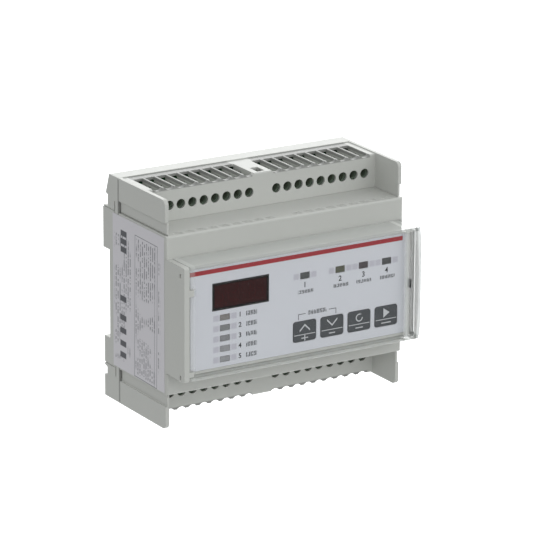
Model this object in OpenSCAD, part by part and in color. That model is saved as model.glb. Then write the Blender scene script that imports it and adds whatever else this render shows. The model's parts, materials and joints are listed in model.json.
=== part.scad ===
// Insulation monitoring device in a moulded six-module housing for a 35 mm mounting rail.
// Origin: centre of the face that seats on the rail. X runs along the rail, the front looks
// towards -Y and Z points up. Depths named f are measured forward from the rail seat, and
// heights named h are measured from the mid height of the housing.

/* [Housing] */
// Width over the end walls
body_w = 105; // [94:0.5:120]
// Height over the terminal covers
body_h = 90; // [81:0.5:99]
// Height of the rail centre above the bottom edge
rail_drop = 42.2; // [38:0.1:46]
// Wall of the mouldings
wall = 2; // [1.8:0.1:2.2]
// Depth of the rear base in front of the rail seat
base_d = 7; // [6.3:0.1:7.7]
// Depth to the shoulder beside the nose
shoulder_d = 43.7; // [40:0.1:48]
// Distance from the shoulder back to the front edges of the end walls
endwall_back = 1.1; // [0.8:0.1:2]
// Height of the terminal recess, from its ledge to the top edge
recess_h = 13.8; // [12:0.1:16]
// Radius along the shoulder edges
edge_r = 0.8; // [0.5:0.1:1.4]

/* [Terminal covers] */
// Thickness of their end walls
endwall_t = 1.7; // [1.6:0.1:1.9]
// Height of the stepped side band above the ledge
band_h = 4.8; // [4.5:0.1:5.5]
// Step of that band in from the sides
band_step = 0.8; // [0.4:0.1:1]
// Distance from the shoulder back to the face with the screw holes
terminal_back = 17.5; // [16:0.1:19]
// Thickness of the terminal face
face_t = 1.8; // [1.4:0.1:2]
// Thickness of the slotted roof
roof_t = 1.5; // [1.2:0.1:1.8]
// Distance from the seam to the wire slots
slot_gap = 3.8; // [3:0.1:5]
// Width of a wire slot
slot_w = 4; // [3.4:0.1:4.2]
// Distance between poles
pitch = 5; // [4.8:0.02:5.5]
// Distance between the two inner poles of a row
group_gap = 12.1; // [11:0.1:14]
// Least distance from a row of poles to the end walls
end_gap = 1; // [0.5:0.1:2]
// Distance of the screw holes below the middle of the recess
hole_low = 0.8; // [0:0.1:0.9]
// Radius of the screw holes
hole_r = 1.85; // [1.6:0.05:2]
// Width of the opening in the bridge between the two groups
bridge_hole_w = 3.2; // [2:0.1:4]
// Length of that opening
bridge_hole_l = 5.6; // [4:0.1:7]

/* [Nose and door] */
// Height of the nose
nose_h = 45; // [44:0.1:46]
// Depth to the front of the door
nose_d = 56.5; // [55:0.1:62]
// Thickness of the left nose wall
cheek_t = 2.3; // [2:0.1:2.5]
// Thickness of the front of the door
pane_t = 1.3; // [1.2:0.1:1.5]
// Thickness of the upper and lower door walls
door_wall = 1.3; // [1:0.1:1.4]
// Thickness of the right door wall
door_side = 2; // [1.5:0.1:2.2]
// Width of the finger lip along the right edge of the door
lip_w = 2; // [1.8:0.1:4]
// Height to which the lip is crowned in front of the door
lip_rise = 1.2; // [0.6:0.1:1.6]
// Radius of the door pin
pin_r = 0.6; // [0.5:0.05:0.65]
// Radius of the bar along the hinge
bar_r = 1.1; // [1:0.05:1.15]
// Distance from the left nose wall to the hinge axis
hinge_in = 1.5; // [1.5:0.1:2]
// Distance from the front of the door to the hinge axis
hinge_back = 1.2; // [1.2:0.1:1.3]
// Half length of the slot for the snap tab
snap_h = 2.1; // [1.5:0.1:3]

/* [Panel] */
// Distance from the front of the door to the panel
panel_back = 3; // [2.8:0.1:3.6]
// Thickness of the label panel
panel_t = 0.4; // [0.3:0.1:0.6]
// Thickness of the core's front wall
core_front = 1.6; // [1.4:0.1:2]
// Distance from the left nose wall to the panel
panel_left_gap = 2.2; // [2:0.1:3]
// Distance from the panel to the right end of the core
panel_right_gap = 2; // [1.8:0.1:3]
// Distance from the panel to the top of the core
panel_top_gap = 0.6; // [0.5:0.1:1.2]
// Distance from the panel to the bottom of the core
panel_low_gap = 1.2; // [0.5:0.1:1.4]
// Width of the display window
window_w = 23.9; // [22:0.1:26]
// Height of the display window
window_h = 10; // [9:0.1:11]
// Distance from the panel's left edge to the window
window_in = 9.9; // [9:0.1:12]
// Distance from the panel's upper edge to the window
window_drop = 7.25; // [6:0.05:8]
// Width of a key
key_w = 10.2; // [9:0.1:10.8]
// Height of a key
key_h = 8.1; // [6:0.1:9]
// Corner radius of a key
key_r = 1; // [0.4:0.1:2]
// Distance between keys
key_step = 12.25; // [12:0.05:12.6]
// Distance from the panel's right edge to the last key's middle
key_in = 9.1; // [8:0.1:10]
// Distance from the panel's lower edge to the middle of the keys
key_rise = 8; // [7:0.1:9]
// Travel of a key
key_travel = 0.35; // [0.2:0.05:0.4]
// Width of an indicator in the left column
value_led_w = 4.1; // [3:0.1:4.6]
// Height of an indicator in the left column
value_led_h = 2.1; // [1.5:0.1:2.4]
// Distance from the window to the middle of the first indicator of the left column
value_led_drop = 3.45; // [3:0.05:4]
// Distance from the panel's lower edge to the middle of the last one
value_led_rise = 2.9; // [2.5:0.1:4]
// Width of an indicator in the upper row
status_led_w = 3.9; // [3:0.1:4.4]
// Height of an indicator in the upper row
status_led_h = 2.4; // [1.5:0.1:3]
// Distance from the panel's upper edge to the middle of the upper row
status_drop = 10; // [9:0.1:11]

/* [Rail fixing] */
// Width of the mounting rail
rail_w = 35; // [34:0.1:36]
// Play of the rail in its channel on each side
rail_play = 0.2; // [0.1:0.05:0.4]
// How far the hooks reach behind the rail's flanges
hook_reach = 1.5; // [1.2:0.1:1.8]
// Rearmost depth of the upper boss
upper_boss_d = 4.9; // [4.6:0.1:5.4]
// Rearmost depth of the lower boss
lower_boss_d = 4.4; // [4.4:0.1:5]
// Distance of the latches from the middle
latch_x = 26.25; // [22:0.25:30]
// Width of a latch behind its guides
latch_w = 19.6; // [17:0.1:22]
// Width of a latch between its guides
latch_neck = 15.6; // [14:0.1:16]
// Travel of a latch
latch_travel = 3.5; // [3:0.1:4]

/* [Boards] */
// Thickness of the circuit boards
board_t = 1.6; // [1.4:0.1:1.8]
// Distance from the base's inner face to the main board
board_rise = 6; // [5.8:0.1:6.4]
// Radius of the board posts
post_r = 3; // [2.6:0.1:3.4]
// Distance from the side walls to the middle of the board posts
post_in = 7.5; // [6:0.5:10]
// Radius of the posts that carry the display board
display_post_r = 2.4; // [2:0.1:2.6]

/* [Hidden] */
$fn = 48;
fit = 0.1;
slide_fit = 0.15;
groove = 0.4;
groove_depth = 0.5;
roof_drop = 0.4;
hinge_play = 0.08;
seat = 0.5;
half_w = body_w / 2;
half_h = body_h / 2;
half_nose = nose_h / 2;
mid_z = half_h - rail_drop;
inner_x = half_w - wall;
ledge_h = half_h - recess_h;
endwall_h = ledge_h + band_h;
endwall_d = shoulder_d - endwall_back;
cover_x = half_w - endwall_t;
roof_h = half_h - roof_drop;
roof_in = roof_h - roof_t;
groove_h = [ledge_h, ledge_h + groove];
terminal_d = shoulder_d - terminal_back;
slot_start = base_d + slot_gap;
seam_slot_mid = ledge_h + 1.6;
seam_slot_half = 2.3;
tongue_mid = ledge_h - 4.2;
tongue_half = 3;
tongue_t = 1.2;

poles = floor((inner_x - group_gap / 2 + pitch / 2 - end_gap) / pitch);
first_x = group_gap / 2;
pole_x = [for (side = [-1, 1]) for (i = [0 : poles - 1]) side * (first_x + i * pitch)];
hole_h = (ledge_h + half_h) / 2 - hole_low;

board_d = wall + board_rise;
block_f = board_d + board_t;
block_end = terminal_d - face_t - 0.3;
block_w = poles * pitch;
block_top = half_h - 3.5;
block_base = ledge_h + 1;
block_bore_r = 1.75;
entry_w = 3.2;
entry_f = [block_f + 1.4, block_f + 6.4];
rib_gap_f = [slot_start + 3.8, slot_start + 6.1];
rib_min = 0.5;

cheek_x = -half_w + cheek_t;
hinge_x = cheek_x + hinge_in;
hinge_f = nose_d - hinge_back;
ear_r = hinge_back;
ear_gap = 0.2;
door_gap = 0.3;
door_rear = shoulder_d + door_gap;
door_inner_h = half_nose - door_wall;
upper_ear = [door_inner_h - 10.4, door_inner_h - 7.8];
lower_ear = [0.5 - door_inner_h, 2.5 - door_inner_h];
pane_f = nose_d - pane_t;
lip_h = half_nose - 1.5;
core_h = door_inner_h - door_gap;
core_wall = 1.8;
core_right = half_w - door_side - 0.5;
panel_f = nose_d - panel_back;
film_f = panel_f - panel_t;
core_back_f = film_f - core_front;
cutout_fit = 0.15;
snap_w = 0.9;
snap_t = 0.4;
snap_x = core_right - 0.8;
snap_depth = 4.9;
scoop_d = 0.9;
scoop_h = 14;
cheek_slots = [half_nose - 3.7, 1.5 - half_nose];

panel_left = cheek_x + panel_left_gap;
panel_right = core_right - panel_right_gap;
panel_top = core_h - panel_top_gap;
panel_low = panel_low_gap - core_h;
window_x = panel_left + window_in + window_w / 2;
window_mid = panel_top - window_drop - window_h / 2;
value_x = panel_left + 15;
value_leds = 5;
value_top = window_mid - window_h / 2 - value_led_drop;
value_step = (value_top - panel_low - value_led_rise) / (value_leds - 1);
value_h = [for (i = [0 : value_leds - 1]) value_top - i * value_step];
key_x = [for (i = [0 : 3]) panel_right - key_in - (3 - i) * key_step];
key_mid = panel_low + key_rise;
status_step = 10.5;
status_x = concat([key_x[0]], [for (i = [0 : 2]) key_x[3] - (2 - i) * status_step]);
status_h = panel_top - status_drop;
flange_t = 0.7;
flange_edge = 0.6;
led_foot = 0.4;
key_back = core_back_f - 0.2;
key_proud = 0.2;
switch_gap = 0.1;
switch_stem = 0.6;
display_back = core_back_f - 5.9;
display_face = display_back + board_t;
display_board_x = [cheek_x + 3.7, core_right - 3.5];
display_board_h = core_h - core_wall - 0.9;
display_post_x = [cheek_x + 6.2, core_right - 6];
display_post_h = core_h - 6.4;
display_posts = [[display_post_x[0], -display_post_h], [display_post_x[0], display_post_h],
    [display_post_x[1], display_post_h], [display_post_x[1], key_mid + 9]];
seal_hole = [half_w - 3.3, 2.9 - half_nose, 0.9];

rail_half = rail_w / 2 + rail_play;
rail_top = rail_half - mid_z;
rail_low = -rail_half - mid_z;
boss_top = half_h - 13;
post_h = (rail_top + boss_top) / 2;
post_x = inner_x - post_in;
hook_f = 1.3;
latch_layer = 1.6;
latch_f = hook_f + latch_layer;
latch_back = lower_boss_d - 0.1;
latch_top = rail_low + hook_reach;
latch_foot = 0.4 - half_h;
coil_solid = 4.5;
coil_free = latch_travel + coil_solid;
coil_r = 1;
wire_r = 0.2;
coil_turns = 6;
stop_t = 2;
stop_w = 2.9;
coil_top = latch_top - 3.2;
stop_top = coil_top - coil_free;

transformer_w = 30;
transformer_l = 20;
transformer_t = 12;
transformer_leg = 10;
winding_w = 5;
transformer_x = transformer_w / 2 + 5.5 - inner_x;
transformer_f = block_f + 2.4;
relay_w = 20;
relay_h = 15;
relay_l = 15.5;
relay_step = 2;
relay_mid = relay_h / 2 + 5.3;
relay_x = inner_x - relay_w / 2 - 12.5;
fuse_r = 2.5;
fuse_l = 20;
fuse_x = inner_x - fuse_r - 5;
fuse_f = block_f + fuse_r + 1.9;
clip_w = 3.6;
film_w = 15;
film_l = 12.4;
film_t = 6;
film_x = transformer_x + transformer_w / 2 + 4;
film_low = 14;
can_r = 5;
can_l = 16.4;
can_x = film_x + film_w / 2 - 0.5;
varistor_r = 5;
varistor_t = 3.5;
chip_w = 10;
chip_t = 1.4;
chip_mid = 22;
riser_half = 12;
riser_x = (can_x + can_r + relay_x - relay_w / 2 - board_t) / 2;

// Points of an arc about c from angle a0 to a1
function arc(c, r, a0, a1, n = 6) =
    [for (i = [0 : n]) c + r * [cos(a0 + (a1 - a0) * i / n), sin(a0 + (a1 - a0) * i / n)]];

// Range of one width about a middle
function about(mid, width) = [mid - width / 2, mid + width / 2];

// Radius of the arc that rises by a height over half a chord
function crown_radius(half_chord, rise) = (half_chord * half_chord + rise * rise) / (2 * rise);

// Box from ranges of x, depth f and height h
module block(x, f, h) {
    translate([x[0], -f[1], mid_z + h[0]])
        cube([x[1] - x[0], f[1] - f[0], h[1] - h[0]]);
}

// Extrudes a side outline, drawn as depth and height, from x0 to x1
module along_x(x0, x1) {
    translate([x0, 0, mid_z]) rotate([90, 0, 90]) mirror([1, 0, 0]) linear_extrude(x1 - x0) children();
}

// Extrudes a plan outline, drawn as x and depth, from h0 to h1
module along_z(h0, h1) {
    translate([0, 0, mid_z + h0]) mirror([0, 1, 0]) linear_extrude(h1 - h0) children();
}

// Extrudes a front outline, drawn as x and height, from depth f0 to f1
module along_f(f0, f1) {
    translate([0, -f0, mid_z]) rotate([90, 0, 0]) linear_extrude(f1 - f0) children();
}

// Round bar along the depth, the height or the width
module rod_f(x, h, r, f) {
    translate([x, -f[0], mid_z + h]) rotate([90, 0, 0]) cylinder(r = r, h = f[1] - f[0]);
}
module rod_z(x, f, r, h) {
    translate([x, -f, mid_z + h[0]]) cylinder(r = r, h = h[1] - h[0]);
}
module rod_x(f, h, r, x) {
    translate([x[0], -f, mid_z + h]) rotate([0, 90, 0]) cylinder(r = r, h = x[1] - x[0]);
}

// Draws children at the right and mirrored at the left
module both_sides() {
    children();
    mirror([1, 0, 0]) children();
}

// Draws children above and mirrored below the mid height
module both_rows() {
    row(true) children();
    row(false) children();
}

// Draws children as they are, or mirrored to the lower row
module row(upper) {
    if (upper) children();
    else translate([0, 0, 2 * mid_z]) mirror([0, 0, 1]) children();
}

// Rounded rectangle about a centre
module round_rect(c, w, h, r) {
    translate([c[0] - w / 2 + r, c[1] - h / 2]) square([w - 2 * r, h]);
    translate([c[0] - w / 2, c[1] - h / 2 + r]) square([w, h - 2 * r]);
    for (sx = [-1, 1]) for (sy = [-1, 1])
        translate([c[0] + sx * (w / 2 - r), c[1] + sy * (h / 2 - r)]) circle(r, $fn = 32);
}

// Plan outline of the housing with rounded front corners
module plan(depth, r) {
    back = upper_boss_d + 1;
    translate([-half_w, -back]) square([body_w, depth - r + back]);
    translate([-half_w + r, depth - r - 1]) square([body_w - 2 * r, r + 1]);
    for (s = [-1, 1]) translate([s * (half_w - r), depth - r]) circle(r, $fn = 32);
}

// Side outline of the rear base, from the top round the rail channel to the bottom
module base_outline() {
    notch_d = 1.2;
    lip_d = 2.7;
    round_r = 1;
    polygon(concat(
        [[base_d, half_h], [0, half_h], [-lip_d, half_h - 8], [-notch_d, half_h - 8.4],
            [-notch_d, boss_top]],
        arc([round_r - upper_boss_d, boss_top - round_r], round_r, 90, 180),
        [[-upper_boss_d, rail_top], [0, rail_top], [0, rail_low], [-lower_boss_d, rail_low],
         [-lower_boss_d, 12.5 - half_h], [-2.5, 12 - half_h], [-2.5, 9.2 - half_h],
         [-lower_boss_d, 8.8 - half_h], [-lower_boss_d, -half_h], [base_d, -half_h]]));
}

// Channel that a latch slides in, wide inside and narrow at the back
module latch_channel(x) {
    h = [-half_h - 1, rail_low + seat];
    block(about(x, latch_w + 2 * slide_fit), [-latch_f - fit, fit - hook_f], h);
    block(about(x, latch_neck + 2 * slide_fit), [-lower_boss_d - 1, -latch_f], h);
}

// Windows in the seat under the hooks and the latches, where the mould reaches through
module hook_windows(x) {
    play = 0.3;
    w = about(x, latch_neck + 2 * play);
    block(w, [-seat, wall + seat], [rail_top - hook_reach - play, rail_top]);
    block(w, [-seat, wall + seat], [rail_low, latch_top + play]);
}

// Slots beside the seam in both side walls, above and below
module seam_slots(f) {
    both_rows() both_sides()
        block([half_w - tongue_t, half_w + 1], f, about(seam_slot_mid, 2 * seam_slot_half));
}

// Side outline of a fixed hook that reaches behind the upper flange of the rail
module hook_outline() {
    polygon([[-hook_f, rail_top + seat], [-hook_f, rail_top - hook_reach],
        [-hook_f - 0.7, rail_top - hook_reach], [-hook_f - 2.3, rail_top + seat]]);
}

module rear_base() {
    cells = 4;
    cell = (2 * inner_x - (cells - 1) * wall) / cells;
    screw_r = 1.3;
    color("#a9aaa6") difference() {
        union() {
            difference() {
                along_x(-half_w, half_w) base_outline();
                block([-inner_x, inner_x], [wall, base_d + 1], [wall - half_h, half_h - wall]);
                for (i = [0 : cells - 1])
                    block([0, cell] + [1, 1] * (i * (cell + wall) - inner_x),
                        [wall - upper_boss_d, wall + 1],
                        [rail_top + wall, boss_top - wall]);
                for (s = [-1, 1]) {
                    latch_channel(s * latch_x);
                    hook_windows(s * latch_x);
                }
                seam_slots([base_d - 3.1, base_d - 2.3]);
                both_rows() both_sides()
                    block([half_w - groove_depth, half_w + 1], [-upper_boss_d - 1, base_d - 2.7], groove_h);
            }
            for (s = [-1, 1]) {
                block(about(s * latch_x, stop_w), [-latch_back, 0], [stop_top - stop_t, stop_top]);
                along_x(s * latch_x - latch_neck / 2, s * latch_x + latch_neck / 2) hook_outline();
                rod_f(s * post_x, post_h, post_r, [wall - upper_boss_d, board_d]);
                rod_f(s * post_x, -post_h, post_r, [wall - seat, board_d]);
            }
        }
        for (s = [-1, 1]) for (t = [-1, 1]) rod_f(s * post_x, t * post_h, screw_r, [wall, board_d + 1]);
    }
}

// Side outline of the front housing behind the nose, with rounded ledge edges
module shoulder_outline() {
    polygon(concat([[base_d, -ledge_h]],
        arc([shoulder_d - edge_r, edge_r - ledge_h], edge_r, -90, 0),
        arc([shoulder_d - edge_r, ledge_h - edge_r], edge_r, 0, 90),
        [[base_d, ledge_h]]));
}

// Side outline of the left nose wall
module cheek_outline() {
    r = 1;
    front = nose_d + 0.3;
    polygon(concat([[shoulder_d - wall, -half_nose]],
        arc([front - r, r - half_nose], r, -90, 0),
        arc([front - r, half_nose - r], r, 0, 90),
        [[shoulder_d - wall, half_nose]]));
}

// Openings for the window, the indicators and the keys, widened by a clearance
module openings_outline(clear) {
    translate([window_x - window_w / 2 - clear, window_mid - window_h / 2 - clear])
        square([window_w + 2 * clear, window_h + 2 * clear]);
    for (h = value_h)
        translate([value_x - value_led_w / 2 - clear, h - value_led_h / 2 - clear])
            square([value_led_w + 2 * clear, value_led_h + 2 * clear]);
    for (x = status_x)
        translate([x - status_led_w / 2 - clear, status_h - status_led_h / 2 - clear])
            square([status_led_w + 2 * clear, status_led_h + 2 * clear]);
    for (x = key_x) round_rect([x, key_mid], key_w + 2 * clear, key_h + 2 * clear, key_r + clear);
}

// Ear with a bore for a door pin, standing on the left nose wall
module hinge_ear(h) {
    difference() {
        union() {
            block([cheek_x - seat, hinge_x], about(hinge_f, 2 * ear_r), h);
            rod_z(hinge_x, hinge_f, ear_r, h);
        }
        rod_z(hinge_x, hinge_f, pin_r + hinge_play, [h[0] - 1, h[1] + 1]);
    }
}

// Tongue inside a side wall that snaps into the rear base
module tongue() {
    h = about(tongue_mid, 2 * tongue_half);
    block([inner_x - tongue_t, inner_x - fit], [base_d - 4, base_d + 6], h);
    block([inner_x - tongue_t, inner_x + seat], [base_d + 2, base_d + 6], h);
}

// Post behind the core's front wall that carries the display board
module display_post(p) {
    difference() {
        rod_f(p[0], p[1], display_post_r, [display_face, core_back_f + seat]);
        rod_f(p[0], p[1], 1, [display_face - 1, core_back_f]);
    }
}

module front_housing() {
    back = [base_d - 1, terminal_d - 4];
    scoop_r = crown_radius(scoop_h, scoop_d);
    dip_r = 3;
    dip = 0.7;
    dip_f = [shoulder_d - 3.8, shoulder_d - 1.2];
    color("#a8aaa5") {
        difference() {
            union() {
                intersection() {
                    along_x(-half_w, half_w) shoulder_outline();
                    along_z(-half_h, half_h) plan(shoulder_d, 0.8);
                }
                along_x(-half_w, cheek_x) cheek_outline();
                block([cheek_x - seat, core_right], [shoulder_d - wall, panel_f], [-core_h, core_h]);
            }
            block([-inner_x, inner_x], [base_d - 1, shoulder_d - wall], [wall - ledge_h, ledge_h - wall]);
            block([-inner_x, inner_x], back, [-ledge_h - 1, ledge_h + 1]);
            block([cheek_x, core_right - 2.4], [shoulder_d - wall - 1, core_back_f],
                [core_wall - core_h, core_h - core_wall]);
            block([panel_left - fit, panel_right + fit], [film_f, panel_f + 1],
                [panel_low - fit, panel_top + fit]);
            along_f(core_back_f - 1, panel_f + 1) openings_outline(cutout_fit);
            block(about(snap_x, snap_w), [panel_f - snap_depth, panel_f + 1], [-snap_h, snap_h]);
            rod_f(core_right - scoop_d + scoop_r, 0, scoop_r,
                [panel_f - snap_depth, panel_f + 1], $fn = 240);
            for (x = pole_x) both_rows() rod_f(x, ledge_h + dip_r - dip, dip_r, dip_f);
            for (h = cheek_slots)
                block([-half_w - 1, 0.9 - half_w], about(nose_d - 2.8, 1), about(h, 1.7));
        }
        for (h = [upper_ear, lower_ear]) hinge_ear(h);
        both_rows() both_sides() tongue();
        for (p = display_posts) display_post(p);
    }
}

// Side outline of an end wall with a rounded upper front corner
module endwall_outline() {
    low = 0.8;
    top = 2.2;
    polygon(concat([[base_d, endwall_h]],
        arc([endwall_d - low, endwall_h + low], low, -90, 0),
        arc([endwall_d - top, half_h - top], top, 0, 90),
        [[base_d, half_h]]));
}

// Side outline of a rib under the roof between two wire slots, with a gap over the wire entries
module rib_outline() {
    high = roof_in + fit;
    low = block_top + fit;
    gap_h = roof_in - rib_min;
    end = terminal_d - face_t;
    polygon([[slot_start, high], [slot_start, low], [rib_gap_f[0], low], [rib_gap_f[0], gap_h],
        [rib_gap_f[1], gap_h], [rib_gap_f[1], low], [end, low], [end, high]]);
}

// Side outline of the roof and the face of a terminal cover, rounded where they meet
module cover_outline() {
    r = 0.6;
    polygon(concat([[base_d, roof_in], [terminal_d - face_t, roof_in], [terminal_d - face_t, ledge_h],
            [terminal_d, ledge_h]],
        arc([terminal_d - r, roof_h - r], r, 0, 90),
        [[base_d, roof_h]]));
}

// Cover over a row of terminals: end walls, slotted roof and the face with the screw holes
module terminal_cover() {
    rib_w = pitch - slot_w;
    thin_roof = 1.1;
    corner_r = 0.4;
    face_back = terminal_d - face_t;
    notch_r = 2.5;
    notch_l = 1;
    rim_t = 0.6;
    difference() {
        union() {
            intersection() {
                both_sides() along_x(cover_x, half_w) endwall_outline();
                along_z(0, half_h) plan(endwall_d, corner_r);
            }
            both_sides() block([cover_x, half_w - band_step], [base_d, endwall_d],
                [ledge_h + groove, endwall_h + 0.1]);
            both_sides() block([cover_x, half_w - band_step - groove_depth], [base_d, endwall_d],
                [ledge_h, ledge_h + groove + fit]);
            along_x(-cover_x - seat, cover_x + seat) cover_outline();
            for (i = [0 : poles]) both_sides() translate([first_x - pitch / 2 + i * pitch, 0, 0])
                along_x(-rib_w / 2, rib_w / 2) rib_outline();
        }
        for (x = pole_x) {
            block(about(x, slot_w), [slot_start, face_back], [roof_in - 1, half_h + 1]);
            rod_f(x, roof_h - notch_l + notch_r, notch_r, [face_back - 1, terminal_d + 1]);
            block(about(x, slot_w), [base_d - 1, slot_start + 1], [roof_in - 1, roof_h - thin_roof]);
            rod_f(x, hole_h, hole_r, [face_back - 1, terminal_d + 1]);
            rod_f(x, hole_h, hole_r + 0.4, [face_back - 1, terminal_d - rim_t]);
        }
        block(about(0, bridge_hole_w), [-bridge_hole_l - 1.6, -1.6] + [1, 1] * terminal_d,
            [roof_in - 1, half_h + 1]);
        seam_slots([base_d - 1, base_d + 0.9]);
    }
}

module upper_terminal_cover() { color("#a8aaa5") row(true) terminal_cover(); }
module lower_terminal_cover() { color("#a8aaa5") row(false) terminal_cover(); }

// Plan outline of the door, rounded about the hinge axis and at the right
module door_plan() {
    r = 1;
    left = hinge_x - hinge_back;
    translate([left, door_rear]) square([half_w - r - left, hinge_f - door_rear]);
    translate([hinge_x, door_rear]) square([half_w - r - hinge_x, nose_d - door_rear]);
    translate([half_w - 2 * r, door_rear]) square([2 * r, nose_d - r - door_rear]);
    translate([half_w - r, nose_d - r]) circle(r);
    translate([hinge_x, hinge_f]) circle(hinge_back);
}

// Side outline of the door with rounded front edges
module door_outline() {
    r = 0.8;
    polygon(concat([[door_rear, -half_nose]],
        arc([nose_d - r, r - half_nose], r, -90, 0),
        arc([nose_d - r, half_nose - r], r, 0, 90),
        [[door_rear, half_nose]]));
}

// Plan outline of the finger lip, with rounded corners in front
module lip_plan() {
    r = 0.9;
    front = nose_d + lip_rise;
    translate([half_w - lip_w, pane_f]) square([lip_w, front - r - pane_f]);
    translate([half_w - lip_w + r, pane_f]) square([lip_w - 2 * r, front - pane_f]);
    for (x = [half_w - lip_w + r, half_w - r]) translate([x, front - r]) circle(r, $fn = 32);
}

// Lip for a fingertip along the right edge of the door, crowned towards its middle
module finger_lip() {
    r = crown_radius(lip_h, lip_rise);
    intersection() {
        along_z(-lip_h, lip_h) lip_plan();
        rod_x(nose_d + lip_rise - r, 0, r, [half_w - lip_w - 1, half_w + 1], $fn = 360);
    }
}

module clear_door() {
    notch_x = hinge_x + ear_r + 0.35;
    color("#dfe4e6", 0.4) {
        difference() {
            union() {
                intersection() {
                    along_z(-half_nose, half_nose) door_plan();
                    along_x(hinge_x - 5, half_w + 1) door_outline();
                }
                finger_lip();
            }
            block([hinge_x - 5, half_w - door_side], [door_rear - 1, pane_f], [-door_inner_h, door_inner_h]);
            for (h = [upper_ear + [-ear_gap, ear_gap], [-door_inner_h, lower_ear[1] + ear_gap]])
                block([hinge_x - 5, notch_x], [pane_f - 1, nose_d + 1], h);
            rod_f(seal_hole[0], seal_hole[1], seal_hole[2], [pane_f - 1, nose_d + 2]);
        }
        rod_z(hinge_x, hinge_f, bar_r, [lower_ear[1] + ear_gap, upper_ear[0] - ear_gap]);
        rod_z(hinge_x, hinge_f, bar_r, [upper_ear[1] + ear_gap, door_inner_h + seat]);
        rod_z(hinge_x, hinge_f, pin_r, [-door_inner_h - seat, door_inner_h]);
        block(about(snap_x, snap_t), [panel_f - 2.2, pane_f + seat], [0.3 - snap_h, snap_h - 0.3]);
    }
}

module label_panel() {
    color("#c0c4ca") difference() {
        block([panel_left, panel_right], [film_f, panel_f], [panel_low, panel_top]);
        along_f(film_f - 1, panel_f + 1) openings_outline(cutout_fit);
    }
}

module side_label() {
    h = ledge_h - 0.7;
    color("#b4b5b9") block([-half_w - 0.15, -half_w], [3, shoulder_d - 1.7], [-h, h]);
}

module display_window() {
    color("#3a2226") block(about(window_x, window_w), [core_back_f + 0.4, panel_f],
        about(window_mid, window_h));
}

// Row of four digit cells with seams between them
module digit_display() {
    cell = 5.9;
    cell_h = 9.6;
    front = core_back_f - 0.2;
    color("#2c2a2b") difference() {
        block(about(window_x, 4 * cell), [display_face, front], about(window_mid, cell_h));
        for (i = [-1 : 1])
            block(about(window_x + i * cell, 0.2), [front - 0.6, front + 1], about(window_mid, cell_h + 2));
    }
}

// Key cap with the flange that keeps it behind the panel
module key(i) {
    color("#57595c") {
        along_f(key_back - fit, panel_f + key_proud) round_rect([key_x[i], key_mid], key_w, key_h, key_r);
        along_f(key_back - flange_t, key_back)
            round_rect([key_x[i], key_mid], key_w + 2 * flange_edge, key_h + 2 * flange_edge, key_r);
    }
}
module key_up() { key(0); }
module key_down() { key(1); }
module key_reset() { key(2); }
module key_test() { key(3); }

// Push switch on the display board behind a key
module key_switch(i) {
    top = key_back - flange_t - key_travel - switch_gap;
    color("#3c3d3f") {
        block(about(key_x[i], 6), [display_face, top - switch_stem], about(key_mid, 6));
        rod_f(key_x[i], key_mid, 1.7, [top - switch_stem - fit, top]);
    }
}
module key_switch_1() { key_switch(0); }
module key_switch_2() { key_switch(1); }
module key_switch_3() { key_switch(2); }
module key_switch_4() { key_switch(3); }

// Indicator: a base on the display board and a light guide that ends flush with the panel
module indicator(x, h, w, t) {
    color("#96999b") {
        block(about(x, w + 2 * led_foot), [display_face, core_back_f - 0.3], about(h, t + 2 * led_foot));
        block(about(x, w), [core_back_f - 0.4, panel_f], about(h, t));
    }
}
module value_led(i) { indicator(value_x, value_h[i], value_led_w, value_led_h); }
module status_led(i) { indicator(status_x[i], status_h, status_led_w, status_led_h); }
module value_led_1() { value_led(0); }
module value_led_2() { value_led(1); }
module value_led_3() { value_led(2); }
module value_led_4() { value_led(3); }
module value_led_5() { value_led(4); }
module status_led_1() { status_led(0); }
module status_led_2() { status_led(1); }
module status_led_3() { status_led(2); }
module status_led_4() { status_led(3); }

module main_board() {
    edge = wall + 0.4;
    side = inner_x - tongue_t - 0.4;
    color("#2f5d3a") difference() {
        block([-side, side], [board_d, block_f], [edge - half_h, half_h - edge]);
        for (s = [-1, 1]) for (t = [-1, 1]) rod_f(s * post_x, t * post_h, 1.7, [board_d - 1, block_f + 1]);
    }
}

module display_board() {
    color("#2f5d3a") difference() {
        block(display_board_x, [display_back, display_face], [-display_board_h, display_board_h]);
        for (p = display_posts) rod_f(p[0], p[1], 1.1, [display_back - 1, display_face + 1]);
    }
}

module riser_board() {
    color("#2f5d3a") block([riser_x, riser_x + board_t], [block_f, display_back], [-riser_half, riser_half]);
}

// Slotted pan-head screw, drawn with its head in front of depth 0 and its shank behind
module pan_screw(head_r, shank_r, length) {
    head_t = 1.2;
    slot = 0.6;
    difference() {
        union() {
            rotate([90, 0, 0]) cylinder(r = head_r, h = head_t);
            translate([0, length, 0]) rotate([90, 0, 0]) cylinder(r = shank_r, h = length);
        }
        translate([-head_r - 1, -head_t - 1, -slot / 2]) cube([2 * head_r + 2, 1 + slot, slot]);
    }
}

module board_screws() {
    color("#b8b9ba") for (s = [-1, 1]) for (t = [-1, 1])
        translate([s * post_x, -block_f, mid_z + t * post_h]) pan_screw(2.6, 1.2, block_f - wall - 1);
}

module display_screws() {
    color("#b8b9ba") for (p = display_posts)
        translate([p[0], -display_back, mid_z + p[1]]) mirror([0, 1, 0])
            pan_screw(1.8, 0.9, core_back_f - seat - display_back);
}

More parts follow.
